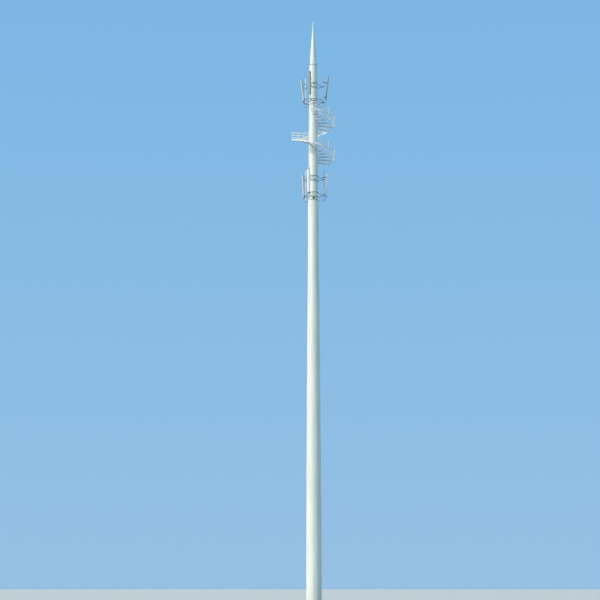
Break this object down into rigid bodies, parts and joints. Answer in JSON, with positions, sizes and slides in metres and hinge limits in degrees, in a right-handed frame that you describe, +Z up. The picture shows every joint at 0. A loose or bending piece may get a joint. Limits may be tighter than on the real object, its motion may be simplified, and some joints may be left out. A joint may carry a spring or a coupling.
{
  "type": "monopole cell tower, 1:2 scale model",
  "caption": "Half-size model of a slim tapered steel cell tower with a lightning spire, levels of tilting panel antennas and an outside spiral stair round the pole.",
  "frame": {"origin": "centre of the underside of the base flange, on the ground", "axes": "+Z up the pole; -Y is the side that the picture shows; +X is the picture's right"},
  "size_m": [2.2026, 2.2026, 30.024],
  "materials": {
    "pole_paint": "satin off-white paint",
    "flange_steel": "satin grey paint",
    "galvanised": "dull galvanised",
    "stair_paint": "satin pale grey paint",
    "grating": "galvanised grating",
    "port_rubber": "matt black",
    "cable_jacket": "matt black",
    "radome": "matt light grey",
    "tilt_steel": "dull galvanised"
  },
  "bodies": {
    "mast": {"shaft_1": "pole_paint", "shaft_2": "pole_paint", "shaft_3": "pole_paint", "shaft_4": "pole_paint", "shaft_5": "pole_paint", "shaft_6": "pole_paint", "lightning_spire": "pole_paint", "access_door": "pole_paint", "access_door_frame": "pole_paint", "exit_door_frame": "pole_paint", "base_flange": "flange_steel", "base_gussets": "flange_steel", "step_flange": "flange_steel", "top_flange": "flange_steel", "upper_stand_off": "galvanised", "upper_ring_frame": "galvanised", "lower_stand_off_high": "galvanised", "lower_stand_off_low": "galvanised", "upper_pipes": "galvanised", "lower_pipes": "galvanised", "upper_hinge_clamps": "galvanised", "lower_hinge_clamps": "galvanised", "upper_slot_clamps": "galvanised", "lower_slot_clamps": "galvanised", "lightning_needle": "galvanised", "stair_stringer": "stair_paint", "stair_handrail": "stair_paint", "stair_midrails": "stair_paint", "stair_posts": "stair_paint", "stair_arms": "stair_paint", "stair_treads": "grating", "cable_port_collars": "port_rubber", "upper_right_jumpers": "cable_jacket", "upper_back_jumpers": "cable_jacket", "upper_front_jumpers": "cable_jacket", "lower_right_jumpers": "cable_jacket", "lower_back_jumpers": "cable_jacket", "lower_front_jumpers": "cable_jacket"},
    "upper_right_panel": {"upper_right_antenna": "radome", "upper_right_tilt_bracket": "tilt_steel"},
    "upper_back_panel": {"upper_back_antenna": "radome", "upper_back_tilt_bracket": "tilt_steel"},
    "upper_front_panel": {"upper_front_antenna": "radome", "upper_front_tilt_bracket": "tilt_steel"},
    "lower_right_panel": {"lower_right_antenna": "radome", "lower_right_tilt_bracket": "tilt_steel"},
    "lower_back_panel": {"lower_back_antenna": "radome", "lower_back_tilt_bracket": "tilt_steel"},
    "lower_front_panel": {"lower_front_antenna": "radome", "lower_front_tilt_bracket": "tilt_steel"}
  },
  "joints": [
    {"name": "upper_right_tilt", "type": "hinge", "parent": "mast", "child": "upper_right_panel", "pos_m": [0.59887, 0.16047, 25.72], "axis": [-0.2588, 0.9659, 0], "range_deg": [-6, 6], "deforming": ["upper_right_jumpers"]},
    {"name": "upper_back_tilt", "type": "hinge", "parent": "mast", "child": "upper_back_panel", "pos_m": [-0.43841, 0.43841, 25.72], "axis": [-0.7071, -0.7071, 0], "range_deg": [-9, 3], "deforming": ["upper_back_jumpers"]},
    {"name": "upper_front_tilt", "type": "hinge", "parent": "mast", "child": "upper_front_panel", "pos_m": [-0.16047, -0.59887, 25.72], "axis": [0.9659, -0.2588, 0], "range_deg": [-2, 10], "deforming": ["upper_front_jumpers"]},
    {"name": "lower_right_tilt", "type": "hinge", "parent": "mast", "child": "lower_right_panel", "pos_m": [0.59887, 0.16047, 20.566], "axis": [-0.2588, 0.9659, 0], "range_deg": [-3, 9], "deforming": ["lower_right_jumpers"]},
    {"name": "lower_back_tilt", "type": "hinge", "parent": "mast", "child": "lower_back_panel", "pos_m": [-0.43841, 0.43841, 20.566], "axis": [-0.7071, -0.7071, 0], "range_deg": [-3, 9], "deforming": ["lower_back_jumpers"]},
    {"name": "lower_front_tilt", "type": "hinge", "parent": "mast", "child": "lower_front_panel", "pos_m": [-0.22219, -0.57882, 20.566], "axis": [0.9336, -0.3584, 0], "range_deg": [-2, 10], "deforming": ["lower_front_jumpers"]}
  ]
}
